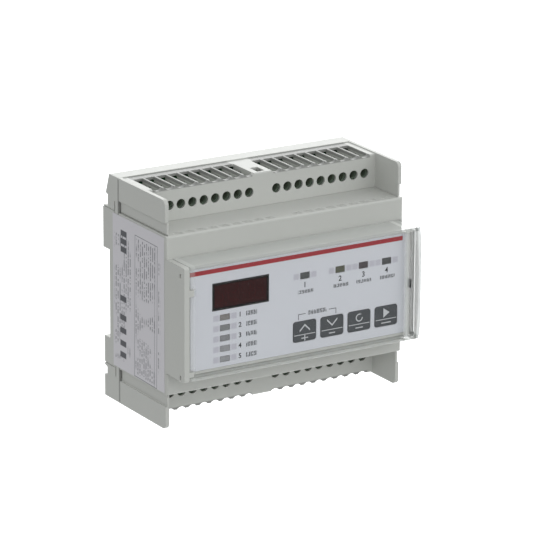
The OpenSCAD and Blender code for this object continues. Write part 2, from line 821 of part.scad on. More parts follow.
// Terminal block of the right group, with wire entries above and screw bores in front
module terminal_block() {
    left = first_x - pitch / 2;
    difference() {
        block([left, left + block_w], [block_f, block_end], [block_base, block_top]);
        for (i = [0 : poles - 1]) {
            rod_f(first_x + i * pitch, hole_h, block_bore_r, [block_f + 6, block_end + 1]);
            block(about(first_x + i * pitch, entry_w), entry_f, [block_base + 1.5, block_top + 1]);
        }
    }
}
module terminal_block_upper_left() { color("#3f4a42") mirror([1, 0, 0]) row(true) terminal_block(); }
module terminal_block_upper_right() { color("#3f4a42") row(true) terminal_block(); }
module terminal_block_lower_left() { color("#3f4a42") mirror([1, 0, 0]) row(false) terminal_block(); }
module terminal_block_lower_right() { color("#3f4a42") row(false) terminal_block(); }

// Wire clamp cages of one row, open upwards for the wire
module clamps() {
    cage_l = 4.8;
    cage_wall = 0.4;
    cage_h = about(hole_h - 0.2, cage_l);
    for (x = pole_x) difference() {
        block(about(x, entry_w - 2 * fit), entry_f + [fit, -fit], cage_h);
        block(about(x, entry_w - 2 * fit - 2 * cage_wall), entry_f + [fit + cage_wall, -1.3],
            cage_h + [-1, 1]);
        rod_f(x, hole_h, 1.1, entry_f + [3, 1]);
    }
}
module upper_clamps() { color("#c6b68a") row(true) clamps(); }
module lower_clamps() { color("#c6b68a") row(false) clamps(); }

// Clamp screws of one row behind the screw holes
module clamp_screws() {
    head_f = block_f + 8;
    shank_l = 3.2;
    for (x = pole_x) translate([x, -head_f, mid_z + hole_h]) pan_screw(block_bore_r - 0.15, 1, shank_l);
}
module upper_screws() { color("#b5a77a") row(true) clamp_screws(); }
module lower_screws() { color("#b5a77a") row(false) clamp_screws(); }

// Laminated core with two windows for the winding
module transformer_core() {
    yoke = winding_w;
    window_f = [transformer_f + yoke, transformer_f + transformer_l - yoke];
    middle = (transformer_leg + winding_w) / 2;
    color("#54575a") difference() {
        block(about(transformer_x, transformer_w), [transformer_f, transformer_f + transformer_l],
            about(0, transformer_t));
        for (s = [-1, 1])
            block(about(transformer_x + s * middle, winding_w), window_f, about(0, transformer_t + 2));
    }
}

// Winding around the middle leg with the feet of its bobbin
module transformer_coil() {
    coil_w = transformer_leg + 2 * winding_w - 0.4;
    coil_half = transformer_t / 2 + winding_w;
    coil_f = [transformer_f + winding_w + 0.2, transformer_f + transformer_l - winding_w - 0.2];
    color("#b9793c") difference() {
        union() {
            block(about(transformer_x, coil_w), coil_f, [-coil_half, coil_half]);
            both_rows() block(about(transformer_x, coil_w), [block_f, coil_f[0] + seat],
                [transformer_t / 2 + 1, coil_half]);
        }
        block(about(transformer_x, transformer_leg + 2 * fit), coil_f + [-1, 1],
            about(0, transformer_t + 2 * fit));
    }
}

// Sealed relay with a step under its cap
module relay(h) {
    foot = 0.3;
    block(about(relay_x, relay_w - 2 * foot), [block_f, block_f + relay_step], about(h, relay_h - 2 * foot));
    block(about(relay_x, relay_w), [block_f + relay_step, block_f + relay_l], about(h, relay_h));
}
module relay_upper() { color("#2b4d86") relay(relay_mid); }
module relay_lower() { color("#2b4d86") relay(-relay_mid); }

// Box film capacitor beside the smoothing capacitors
module box_capacitor() {
    block([film_x, film_x + film_w], [block_f, block_f + film_l], [film_low, film_low + film_t]);
}
module film_capacitor() { color("#c9a23a") row(true) box_capacitor(); }
module coupling_capacitor() { color("#c9a23a") row(false) box_capacitor(); }

module can_capacitor() {
    rod_f(can_x, can_r + 1, can_r, [block_f, block_f + can_l]);
}
module smoothing_capacitor_upper() { color("#26323f") row(true) can_capacitor(); }
module smoothing_capacitor_lower() { color("#26323f") row(false) can_capacitor(); }

module varistor() {
    left = riser_x + board_t + 1.9;
    color("#2f6fa0") rod_x(block_f + varistor_r, 0, varistor_r, [left, left + varistor_t]);
}

module fuse_tube() { color("#dcdcd6") rod_z(fuse_x, fuse_f, fuse_r, about(0, fuse_l)); }

module fuse_clips() {
    clip_h = [fuse_l / 2 - 0.2 - clip_w, fuse_l / 2 - 0.2];
    color("#c0b48c") both_rows() difference() {
        block(about(fuse_x, 2 * fuse_r + 1.4), [block_f, fuse_f + 1], clip_h);
        rod_z(fuse_x, fuse_f, fuse_r + 0.05, clip_h + [-1, 1]);
    }
}

module controller_chip() {
    color("#2a2b2c") block(about(transformer_x + 2, chip_w), [block_f, block_f + chip_t],
        about(chip_mid, chip_w));
}

// Latch that slides in its channel and hooks behind the lower flange of the rail
module rail_latch(x) {
    through = [-latch_back - 1, 1 - hook_f];
    color("#8d908d") difference() {
        union() {
            block(about(x, latch_w), [-latch_f, -hook_f], [latch_foot, rail_low - 0.2]);
            along_x(x - latch_neck / 2, x + latch_neck / 2)
                polygon([[-hook_f, latch_foot], [-hook_f, latch_top], [-hook_f - 0.7, latch_top],
                    [-latch_back, latch_top - 2.4], [-latch_back, latch_foot]]);
        }
        block(about(x, stop_w + 0.3), through, [stop_top - stop_t - 0.2, coil_top]);
        block(about(x, 7), through, [latch_foot + 2.6, latch_foot + 4.4]);
    }
}
module rail_latch_left() { rail_latch(-latch_x); }
module rail_latch_right() { rail_latch(latch_x); }

// Coil spring between the stop of the base and the upper edge of the latch's window
module latch_spring(x) {
    steps = 12;
    sides = 5;
    count = coil_turns * steps;
    rise = coil_free - 2 * wire_r - 2 * fit;
    start = mid_z + stop_top + wire_r + fit;
    color("#c4c5c6") translate([x, (latch_back + hook_f) / 2, start])
        polyhedron(
            points = [for (i = [0 : count]) let (a = i * 360 / steps) for (j = [0 : sides - 1])
                let (b = j * 360 / sides, r = coil_r + wire_r * cos(b))
                [r * cos(a), r * sin(a), rise * i / count + wire_r * sin(b)]],
            faces = concat(
                [[for (j = [0 : sides - 1]) j]],
                [for (i = [0 : count - 1]) for (j = [0 : sides - 1]) let (k = (j + 1) % sides)
                    [i * sides + j, (i + 1) * sides + j, (i + 1) * sides + k, i * sides + k]],
                [[for (j = [sides - 1 : -1 : 0]) count * sides + j]]));
}
module latch_spring_left() { latch_spring(-latch_x); }
module latch_spring_right() { latch_spring(latch_x); }

rear_base();
front_housing();
upper_terminal_cover();
lower_terminal_cover();
clear_door();
label_panel();
side_label();
display_window();
digit_display();
key_up();
key_down();
key_reset();
key_test();
key_switch_1();
key_switch_2();
key_switch_3();
key_switch_4();
value_led_1();
value_led_2();
value_led_3();
value_led_4();
value_led_5();
status_led_1();
status_led_2();
status_led_3();
status_led_4();
main_board();
display_board();
riser_board();
board_screws();
display_screws();
terminal_block_upper_left();
terminal_block_upper_right();
terminal_block_lower_left();
terminal_block_lower_right();
upper_clamps();
lower_clamps();
upper_screws();
lower_screws();
transformer_core();
transformer_coil();
relay_upper();
relay_lower();
film_capacitor();
coupling_capacitor();
smoothing_capacitor_upper();
smoothing_capacitor_lower();
varistor();
fuse_tube();
fuse_clips();
controller_chip();
rail_latch_left();
rail_latch_right();
latch_spring_left();
latch_spring_right();
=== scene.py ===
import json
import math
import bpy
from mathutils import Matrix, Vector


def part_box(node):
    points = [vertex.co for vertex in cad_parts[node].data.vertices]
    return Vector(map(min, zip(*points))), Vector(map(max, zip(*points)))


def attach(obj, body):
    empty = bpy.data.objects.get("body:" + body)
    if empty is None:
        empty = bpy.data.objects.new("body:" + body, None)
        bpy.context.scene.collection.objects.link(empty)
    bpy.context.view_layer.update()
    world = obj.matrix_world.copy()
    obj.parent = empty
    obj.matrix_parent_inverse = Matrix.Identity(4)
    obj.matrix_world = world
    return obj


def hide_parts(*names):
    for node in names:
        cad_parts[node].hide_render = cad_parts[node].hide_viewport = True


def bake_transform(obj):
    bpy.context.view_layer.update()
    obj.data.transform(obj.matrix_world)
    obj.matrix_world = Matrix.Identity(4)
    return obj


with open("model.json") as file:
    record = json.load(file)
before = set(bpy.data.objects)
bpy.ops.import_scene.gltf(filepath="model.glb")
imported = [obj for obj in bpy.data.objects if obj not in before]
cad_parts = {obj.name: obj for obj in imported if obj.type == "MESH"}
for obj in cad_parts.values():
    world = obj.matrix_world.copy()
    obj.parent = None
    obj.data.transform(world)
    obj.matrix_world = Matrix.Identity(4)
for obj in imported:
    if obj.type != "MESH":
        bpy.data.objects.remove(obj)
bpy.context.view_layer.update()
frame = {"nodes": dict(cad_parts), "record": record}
# %% [markdown]
# An insulation monitor clips to a mounting rail in a control cabinet. Its moulded housing, terminals,
# door, keys, boards and latches arrive already built to size. This lesson gives them the edges, the
# prints and the finishes that make them look real, lights them as in a studio, and aims the camera.

mm = 0.001
nodes = frame["nodes"]

# %% [markdown]
# The camera stands well away from the device, a little above it and to its left, with a long lens, so
# that parallel edges stay almost parallel as in a catalogue picture. A camera looks along its own -Z
# axis. Its three axes are worked out from two angles and a slight roll, which says more to a reader
# than a rotation found by trial.

# %% Camera
azimuth, elevation, roll = (math.radians(angle) for angle in (-31.47, 17.34, 0.29))
aim = Vector((1.03, -30.0, 9.13)) * mm
distance = 1478.8 * mm
lens, sensor_width = 257.56, 36

back = Vector((math.sin(azimuth) * math.cos(elevation), -math.cos(azimuth) * math.cos(elevation),
               math.sin(elevation)))
level = back.cross(Vector((0, 0, 1))).normalized() * -1
upward = back.cross(level)
rolled_side = level * math.cos(roll) + upward * math.sin(roll)
rolled_top = upward * math.cos(roll) - level * math.sin(roll)
bpy.ops.object.camera_add()
camera = bpy.context.object
camera.name = "studio_camera"
camera.data.lens = lens
camera.data.sensor_width = sensor_width
camera.data.clip_start = 50 * mm
camera.matrix_world = Matrix((rolled_side, rolled_top, back)).transposed().to_4x4()
camera.location = aim + back * distance
bpy.context.scene.camera = camera
print("camera at", [round(v, 3) for v in camera.location])

# %% [markdown]
# The device is shown floating well above a large table, so that it casts no shadow and its underside
# gets light. One wide lamp stands low behind it and lights its upper faces and rims. The ledges in
# front of the terminals lie in the shadow of their covers, which is why they look as grey as the
# front. A lamp overhead would light the ledges too, and the covers would lose their depth.

# %% Table and back lamp
table_side, table_shift, table_z = 8, 3.75, -450 * mm
bpy.ops.mesh.primitive_plane_add(size=table_side, location=(0, table_shift, table_z))
table = bpy.context.object
table.name = "studio_table"
table.data.transform(table.matrix_world)
table.matrix_world = Matrix.Identity(4)

lamp_place = Vector((1.2, 1.5, 0.78))
bpy.ops.object.light_add(type="AREA", location=lamp_place)
lamp = bpy.context.object
lamp.name = "back_softbox"
lamp.data.shape = "RECTANGLE"
lamp.data.size, lamp.data.size_y = 1.6, 1.0
lamp.data.energy = 24
lamp.rotation_euler = (aim - lamp_place).to_track_quat("-Z", "Y").to_euler()
print("lamp of", lamp.data.energy, "W,", round((aim - lamp_place).length, 2), "m away")

# %% [markdown]
# Catalogue pictures of pale plastic are taken in a tent of white cloth. Here the tent is the world
# around the scene, and its light depends on the direction that it comes from. It is strongest from the
# front, and less strong from the left, from below, from straight above and along the horizon. One
# patch of the tent is black: the clear door mirrors just that patch towards the camera, so the display
# behind it stays dark. Looked at directly, from any side, the tent is plain white, and its shades only
# act as light and in reflections. Lamps could do the same, but would leave bright spots on the door.

# %% Tent
sky = bpy.data.worlds.new("studio_sky")
sky.use_nodes = True
web = sky.node_tree


def sky_node(kind, settings=(), values=()):
    made = web.nodes.new(kind)
    for name, setting in dict(settings).items():
        setattr(made, name, setting)
    for name, value in dict(values).items():
        if isinstance(value, bpy.types.NodeSocket):
            web.links.new(value, made.inputs[name])
        else:
            made.inputs[name].default_value = value
    return made.outputs[0]


def sky_ramp(value, start, end, low, high):
    """Goes smoothly from a low to a high strength as the value goes from start to end."""
    return sky_node("ShaderNodeMapRange", {"interpolation_type": "SMOOTHSTEP"}, {
        "Value": value, "From Min": start, "From Max": end, "To Min": low, "To Max": high})


direction = sky_node("ShaderNodeTexCoord").node.outputs["Generated"]
along = sky_node("ShaderNodeSeparateXYZ", {}, {0: direction}).node.outputs
mirrored = sky_node("ShaderNodeVectorMath", {"operation": "DOT_PRODUCT"}, {
    0: direction, 1: (-back.x, back.y, -back.z)}).node.outputs["Value"]
height = sky_node("ShaderNodeMath", {"operation": "ABSOLUTE"}, {0: along["Z"]})
glow = sky_ramp(along["Z"], -0.3, 0.15, 0.4, 1.2)
shades = {"left": sky_ramp(along["X"], -0.9, -0.1, 0.6, 1.0),
          "front": sky_ramp(along["Y"], -0.75, -0.2, 1.4, 1.0),
          "straight above": sky_ramp(along["Z"], 0.5, 0.95, 1.0, 0.55),
          "horizon": sky_ramp(height, 0.05, 0.3, 0.82, 1.0),
          "black patch": sky_ramp(mirrored, 0.93, 0.98, 1.0, 0.02)}
for shade in shades.values():
    glow = sky_node("ShaderNodeMath", {"operation": "MULTIPLY"}, {0: glow, 1: shade})
seen = sky_node("ShaderNodeLightPath")
plain_white = 1.1
glow = sky_node("ShaderNodeMix", {"data_type": "FLOAT"}, {0: seen, 2: glow, 3: plain_white})
tent = web.nodes["Background"]
tent.inputs["Color"].default_value = (0.975, 0.99, 1, 1)
web.links.new(glow, tent.inputs["Strength"])
bpy.context.scene.world = sky
bpy.context.scene.view_settings.view_transform = "Standard"
print("tent shades:", list(shades))

# %% [markdown]
# A finish is a small web of nodes. Writing sums such as `1 - mask` is easier to read than placing
# Math nodes one by one, so a short class wraps a node's output and turns each operator into the node
# that does it.

# %% Shader sums
class Level:
    """A number that varies over a surface. Sums on it add Math nodes."""

    def __init__(self, finish, socket):
        self.finish = finish
        self.socket = socket

    def sum(self, operation, a, b):
        return self.finish.node("ShaderNodeMath", {"operation": operation}, {0: a, 1: b})

    def __add__(self, other):
        return self.sum("ADD", self, other)

    def __sub__(self, other):
        return self.sum("SUBTRACT", self, other)

    def __rsub__(self, other):
        return self.sum("SUBTRACT", other, self)

    def __mul__(self, other):
        return self.sum("MULTIPLY", self, other)

    def __truediv__(self, other):
        return self.sum("DIVIDE", self, other)

    def __pow__(self, other):
        return self.sum("POWER", self, other)

    def __or__(self, other):
        return self.sum("MAXIMUM", self, other)

    def __abs__(self):
        return self.sum("ABSOLUTE", self, 0)

    __radd__ = __add__
    __rmul__ = __mul__
    __ror__ = __or__


print("sums ready: + - * / ** | and abs")

# %% [markdown]
# A second class holds one finish. It makes the material, adds any node by its type, gives the
# coordinates of the piece, and joins results to the surface. Object coordinates are used throughout,
# because they are real metres on the piece: a grain of 0.3 mm is 0.3 mm on every part.

# %% Finish builder
class Finish:
    """One material, built from nodes on the piece's own coordinates."""

    def __init__(self, name, colour, roughness, metallic=0.0):
        self.material = bpy.data.materials.new(name)
        self.material.use_nodes = True
        self.material.diffuse_color = (*colour, 1)
        self.tree = self.material.node_tree
        self.shader = self.tree.nodes["Principled BSDF"]
        self.put("Base Color", (*colour, 1))
        self.put("Roughness", roughness)
        self.put("Metallic", metallic)
        self.place = self.node("ShaderNodeTexCoord", output="Object")

    def put(self, socket, value):
        self.join(self.shader.inputs[socket], value)

    def join(self, socket, value):
        if isinstance(value, Level):
            self.tree.links.new(value.socket, socket)
        else:
            socket.default_value = value

    def node(self, kind, settings=(), values=(), output=0):
        made = self.tree.nodes.new(kind)
        for name, setting in dict(settings).items():
            setattr(made, name, setting)
        for name, value in dict(values).items():
            self.join(made.inputs[name], value)
        return Level(self, made.outputs[output])

    def axes(self):
        split = self.node("ShaderNodeSeparateXYZ", values={0: self.place}).socket.node
        return [Level(self, out) for out in split.outputs]

    def noise(self, size, detail=2, place=None):
        return self.node("ShaderNodeTexNoise", {}, {"Vector": place or self.place, "Scale": 1 / size,
                                                    "Detail": detail})

    def blend(self, share, a, b):
        """Colour a where share is 0, and b where it is 1."""
        inputs = {"Factor": share, 6: a, 7: b}
        return self.node("ShaderNodeMix", {"data_type": "RGBA"}, inputs, output=2)

    def clamp(self, value):
        return self.node("ShaderNodeClamp", {}, {0: value})

    def bump(self, height, depth):
        self.put("Normal", self.node("ShaderNodeBump", {}, {"Distance": depth, "Height": height}))


def rgb(*levels):
    """A colour given in screen values from 0 to 255, as the linear colour that nodes use."""
    return tuple((v / 255 / 12.92 if v < 11 else ((v / 255 + 0.055) / 1.055) ** 2.4) for v in levels)


def scaled(colour, factor):
    """A colour made darker or lighter, as the four numbers that a colour socket takes."""
    return (*(min(1, part * factor) for part in colour), 1)


print("mid grey is", [round(part, 3) for part in rgb(128, 128, 128)])

# %% [markdown]
# The label film, the keys and the sticker are printed. Printed shapes are masks: a mask is 1 inside
# the shape and 0 outside, with an edge a few hundredths of a millimetre wide. A straight bar is two
# ramps multiplied, an outline is a bar less a smaller bar, and a chevron is a bar whose height falls
# with the distance from its middle. An image could hold the same print, but a mask stays sharp at any
# distance. The places come from the boxes of the pieces themselves.

# %% Printing masks
ink_edge = 0.06 * mm


class Print(Finish):
    """A finish with masks for printed shapes."""

    def within(self, value, low, high, soft=ink_edge):
        return self.clamp((value - low) / soft + 0.5) * self.clamp((high - value) / soft + 0.5)

    def bar(self, across, up, centre, width, height, soft=ink_edge):
        x, z = centre
        return self.within(across, x - width / 2, x + width / 2, soft) * self.within(
            up, z - height / 2, z + height / 2, soft)

    def outline(self, across, up, centre, width, height, line):
        outer = self.bar(across, up, centre, width, height)
        inner = self.bar(across, up, centre, width - 2 * line, height - 2 * line)
        return outer - inner

    def fraction(self, value):
        return self.node("ShaderNodeMath", {"operation": "FRACT"}, {0: value})

    def paint(self, base, layers):
        """Lays colours over a base, each where its mask is 1."""
        colour = base if isinstance(base, Level) else (*base, 1)
        for mask, ink in layers:
            colour = self.blend(self.clamp(mask), colour, (*ink, 1))
        return colour


def middle(node):
    low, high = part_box(node)
    return (low + high) / 2


def any_of(masks):
    first, *rest = masks
    for mask in rest:
        first = first | mask
    return first


print("ink edge", ink_edge / mm, "mm")

# %% [markdown]
# The housing is a pale grey engineering plastic. Its mould was spark eroded, which leaves a fine even
# grain, so light spreads softly and no clear reflection shows. Two scales of noise make the grain. A
# third, much broader one shifts the grey by a trace, as real mouldings vary with their flow. Noise
# fills the whole space, so it crosses every corner without a seam. Two marks of painted shade lie over
# it: the slotted roofs are painted a shade darker than the lamps leave them, and a thin painted
# shadow line runs round the seam between the base and the covers.

# %% Moulded plastics
def moulded(name, colour, roughness, grain=0.28 * mm, depth=0.02 * mm, marks=None):
    finish = Print(name, colour, roughness)
    fine = finish.noise(grain, 3)
    coarse = finish.noise(grain * 3.6, 2)
    broad = finish.noise(26 * mm, 1)
    shade = (broad - 0.5) * 0.03 + (fine - 0.5) * 0.05
    body = finish.blend(finish.clamp(shade * 2.5 + 0.5), scaled(colour, 0.8), scaled(colour, 1.2))
    finish.put("Base Color", finish.paint(body, marks(finish)) if marks else body)
    finish.put("Roughness", roughness + (coarse - 0.5) * 0.12)
    finish.bump(fine * 0.6 + coarse * 0.4, depth)
    return finish.material


def housing_marks(finish):
    x, y, z = finish.axes()
    centre_z, roof_start, roof_back = 2.8 * mm, 43.2 * mm, -6.9 * mm
    bridge_side, wall_side = 4.7 * mm, 48.4 * mm
    # Painted shade: this mask paints the slotted roofs darker than the lamps leave them.
    roof_shade = finish.clamp((abs(z - centre_z) - roof_start) / (0.5 * mm)) * finish.within(
        abs(x), bridge_side, wall_side, 0.3 * mm) * finish.clamp((roof_back - y) / (0.2 * mm))
    # Painted shadow: a thin dark line round the seam between the base and the covers.
    seam_front, seam_back, seam_low, seam_high = -7.7 * mm, -6.7 * mm, -41.6 * mm, 47.2 * mm
    seam = finish.within(y, seam_front, seam_back, 0.4 * mm) * finish.within(z, seam_low, seam_high)
    return [(roof_shade, (0.26, 0.264, 0.25)), (seam * 0.6, (0.12, 0.12, 0.115))]


thin_skin = 0.004 * mm
skins = {
    "housing_grey": moulded("spark_eroded_grey", (0.5, 0.507, 0.478), 0.56, marks=housing_marks),
    "latch_grey": moulded("latch_grey", rgb(150, 152, 149), 0.5),
    "switch_black": moulded("switch_black", rgb(44, 45, 47), 0.45),
    "terminal_green": moulded("terminal_green", rgb(112, 126, 110), 0.5),
    "relay_blue": moulded("relay_blue", rgb(42, 78, 138), 0.32, depth=0.005 * mm),
    "capacitor_yellow": moulded("capacitor_yellow", rgb(205, 165, 60), 0.36, depth=0.006 * mm),
    "capacitor_can": moulded("capacitor_sleeve", rgb(36, 46, 60), 0.3, depth=thin_skin),
    "varistor_blue": moulded("varistor_blue", rgb(48, 110, 160), 0.3, grain=0.9 * mm),
    "fuse_ceramic": moulded("fuse_ceramic", rgb(222, 222, 214), 0.35, depth=thin_skin),
    "display_black": moulded("display_black", rgb(46, 44, 45), 0.35, depth=thin_skin),
}
print("mouldings:", sorted(skins))

# %% [markdown]
# The metal and electrical parts are small, and show only through slots, holes and the clear door, so
# short recipes do: plated metals with a faint brushed grain, solder resist over copper tracks on the
# boards, and a winding with its turns. Each recipe works on the piece's own coordinates, so the grain
# keeps its real size.

# %% Metals, boards and windings
def plated(name, colour, roughness):
    finish = Finish(name, colour, roughness, metallic=1.0)
    stretched = finish.node("ShaderNodeMapping", {}, {"Vector": finish.place, "Scale": (1, 1, 0.12)})
    grain = finish.noise(0.12 * mm, 2, stretched)
    cloud = finish.noise(1.6 * mm, 2)
    finish.put("Base Color", finish.blend(cloud, scaled(colour, 0.78), (*colour, 1)))
    finish.put("Roughness", roughness + (grain - 0.5) * 0.25)
    finish.bump(grain, thin_skin)
    return finish.material


def board_resist():
    green, copper = rgb(38, 92, 58), rgb(70, 128, 78)
    finish = Finish("board_resist", green, 0.3)
    upright = finish.node("ShaderNodeMapping", {}, {"Vector": finish.place,
                                                    "Rotation": (math.radians(90), 0, 0)})
    grid = finish.node("ShaderNodeTexBrick", {}, {
        "Vector": upright, "Color1": (1, 1, 1, 1), "Color2": (0.7, 0.7, 0.7, 1),
        "Mortar": (0, 0, 0, 1), "Scale": 120, "Mortar Size": 0.06}, output="Fac")
    patches = finish.noise(7 * mm, 3)
    tracks = finish.clamp((grid * 2 - 0.4) * finish.clamp((patches - 0.45) * 9))
    finish.put("Base Color", finish.blend(tracks, (*green, 1), (*copper, 1)))
    finish.put("Roughness", 0.28 + patches * 0.1)
    finish.bump(tracks, 0.02 * mm)
    return finish.material


def wound_tape():
    amber = rgb(196, 132, 74)
    finish = Finish("wound_tape", amber, 0.4)
    turns = finish.node("ShaderNodeTexWave", {"bands_direction": "Z"}, {
        "Vector": finish.place, "Scale": 260, "Distortion": 0.6, "Detail Scale": 40}, output="Fac")
    finish.put("Base Color", finish.blend(turns, scaled(amber, 0.6), (*amber, 1)))
    finish.bump(turns, 0.08 * mm)
    return finish.material


skins["plated_steel"] = plated("zinc_plated_steel", rgb(200, 201, 203), 0.32)
skins["plated_brass"] = plated("plated_brass", rgb(222, 202, 150), 0.34)
skins["lamination_steel"] = plated("lamination_steel", rgb(104, 108, 112), 0.5)
skins["board_green"] = board_resist()
skins["winding_tape"] = wound_tape()
print("finishes so far:", len(skins))

# %% [markdown]
# The film, the keys, the filter and the numbers all take their places from the same few pieces. Their
# middles and corners are read once, from the built boxes, so that a print can't drift off its piece.

# %% Places on the front
value_leds = [f"value_led_{i}" for i in range(1, 6)]
status_leds = [f"status_led_{i}" for i in range(1, 5)]
key_names = ["key_up", "key_down", "key_reset", "key_test"]
keys = [middle(name) for name in key_names]
film_low, film_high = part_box("label_panel")
window_low, window_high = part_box("display_window")
window_size = window_high - window_low
window_spot = (middle("display_window").x, middle("display_window").z)


def spots_of(names):
    return [(middle(name).x, middle(name).z) for name in names]


print("keys at", [round(key.x / mm, 2) for key in keys])

# %% [markdown]
# The label film is a bluish white polyester with a satin face. A red band runs along its upper edge.
# Pale lilac fields frame each indicator, and a fine bracket ties the first two keys together. Rows of
# short dark strokes stand beside the indicators: the fraction of the way across draws even strokes,
# and noise switches some of them off. Drawing them one by one would take hundreds of masks.

# %% Label film
def label_film():
    film_white = rgb(209, 211, 216)
    film = Print("label_film", film_white, 0.38)
    x, _, z = film.axes()
    band_top, band_height = film_high.z - 1.05 * mm, 1.75 * mm
    red = film.within(z, band_top - band_height, band_top) * film.within(
        x, film_low.x - mm, film_high.x - 1.9 * mm)
    leds = spots_of(value_leds + status_leds)
    halo = any_of([film.bar(x, z, spot, 10.2 * mm, 2.3 * mm, 0.5 * mm) for spot in leds])
    gap = any_of([film.bar(x, z, spot, 5.6 * mm, 3 * mm, 0.3 * mm) for spot in leds])

    stroke_pitch = 0.68 * mm
    strokes = film.within(film.fraction(x / stroke_pitch), 0.12, 0.72, 0.16) * film.clamp(
        (film.noise(0.8 * mm, 1) - 0.33) * 9)
    fields = [film.bar(x, z, (across + 11.6 * mm, up), 5.0 * mm, 1.8 * mm)
              for across, up in spots_of(value_leds)]
    fields += [film.bar(x, z, (across + 0.3 * mm, up - 6.3 * mm), 6.8 * mm, 1.4 * mm)
               for across, up in spots_of(status_leds)]
    left, right = keys[0].x - 2.9 * mm, keys[1].x + 1.9 * mm
    bracket_top, bracket_height = keys[0].z + 7 * mm, 2.7 * mm
    span = (left + right) / 2
    fields.append(film.bar(x, z, (span, bracket_top), 8.2 * mm, 1.7 * mm))
    bracket = film.outline(x, z, (span, bracket_top - bracket_height / 2), right - left,
                           bracket_height, 0.28 * mm)
    hidden = film.bar(x, z, (span, bracket_top), 10.4 * mm, 0.8 * mm) | film.within(
        z, bracket_top - 4 * mm, bracket_top - 2.3 * mm)
    window_rim = film.bar(x, z, window_spot, window_size.x + 0.9 * mm, window_size.z + 0.9 * mm)

    cloud = film.noise(18 * mm, 2)
    film.put("Base Color", film.paint(film_white, [
        (cloud * 0.12, rgb(200, 203, 212)), ((halo - gap * 0.6) * 0.9, rgb(186, 185, 194)),
        (any_of(fields) * strokes, rgb(46, 47, 50)), (bracket - hidden, rgb(80, 82, 86)),
        (window_rim, rgb(30, 28, 29)), (red, rgb(160, 40, 48))]))
    fine = film.noise(0.16 * mm, 2)
    film.put("Roughness", 0.36 + fine * 0.1)
    film.bump(fine, thin_skin)
    return film.material


skins["panel_film"] = label_film()
print("film", [round(v / mm, 1) for v in film_high - film_low])

# %% [markdown]
# The keys are dark caps with pale marks: arrows for up and down over plus and minus, a ring for reset
# and a triangle for test, each over a thin divider. The marks could be raised faces, but real ones are
# printed flat, so they are masks in one finish that all four keys share. Each mask is written around
# the middle of its own key, so that it lands on no other.

# %% Key caps
def key_caps():
    cap = Print("key_cap", rgb(70, 73, 76), 0.42)
    x, _, z = cap.axes()
    spots = [(x - key.x, z - key.z) for key in keys]
    up, down, reset, test = spots
    divider, lower_mark, line = (0, -1.3 * mm), (0, -2.7 * mm), 0.4 * mm
    marks = [cap.bar(*spot, divider, 9.4 * mm, 0.28 * mm) for spot in spots]

    arrow_side, arrow_line = 2.3 * mm, 0.36 * mm
    for (across, height), slope, tip in ((up, 1, 2.5 * mm), (down, -1, 0.4 * mm)):
        stroke = abs(height + abs(across) * slope - tip)
        marks.append(cap.clamp((arrow_line - stroke) / ink_edge + 0.5) * cap.within(
            across, -arrow_side, arrow_side))
    marks.append(cap.bar(*up, lower_mark, line, 2.3 * mm))
    for spot, width in ((up, 3.0 * mm), (down, 2.7 * mm), (reset, 3.4 * mm), (test, 4.4 * mm)):
        marks.append(cap.bar(*spot, lower_mark, width, line))

    upper_z = 1.3 * mm
    ring_x, ring_z = reset[0], reset[1] - upper_z
    reach = (ring_x * ring_x + ring_z * ring_z) ** 0.5
    ring = cap.within(reach, 1.15 * mm, 1.6 * mm)
    marks.append(ring * (1 - cap.bar(*reset, (1.2 * mm, 1.9 * mm), 1.6 * mm, 1.2 * mm)))
    lean = abs(test[1] - upper_z) * 1.5 + test[0]
    marks.append(cap.clamp((1.6 * mm - lean) / ink_edge) * cap.clamp((test[0] + 1.3 * mm) / ink_edge))

    fine = cap.noise(0.2 * mm, 3)
    dark = cap.blend(fine, (*rgb(60, 63, 66), 1), (*rgb(78, 81, 84), 1))
    cap.put("Base Color", cap.blend(cap.clamp(any_of(marks)), dark, (*rgb(196, 198, 200), 1)))
    cap.put("Roughness", 0.4 + fine * 0.12)
    cap.bump(fine, 0.006 * mm)
    return cap.material


skins["key_grey"] = key_caps()
print("key marks drawn on", len(keys), "keys")

# %% [markdown]
# The side sticker is a lilac white film, stuck on a trace out of true. It carries a ruled frame,
# columns of plain broken dashes and a row of bold bars. Stripes across the sticker are cut by noise
# along their length and switched off in larger patches, which gives hundreds of uneven dashes from
# three masks.

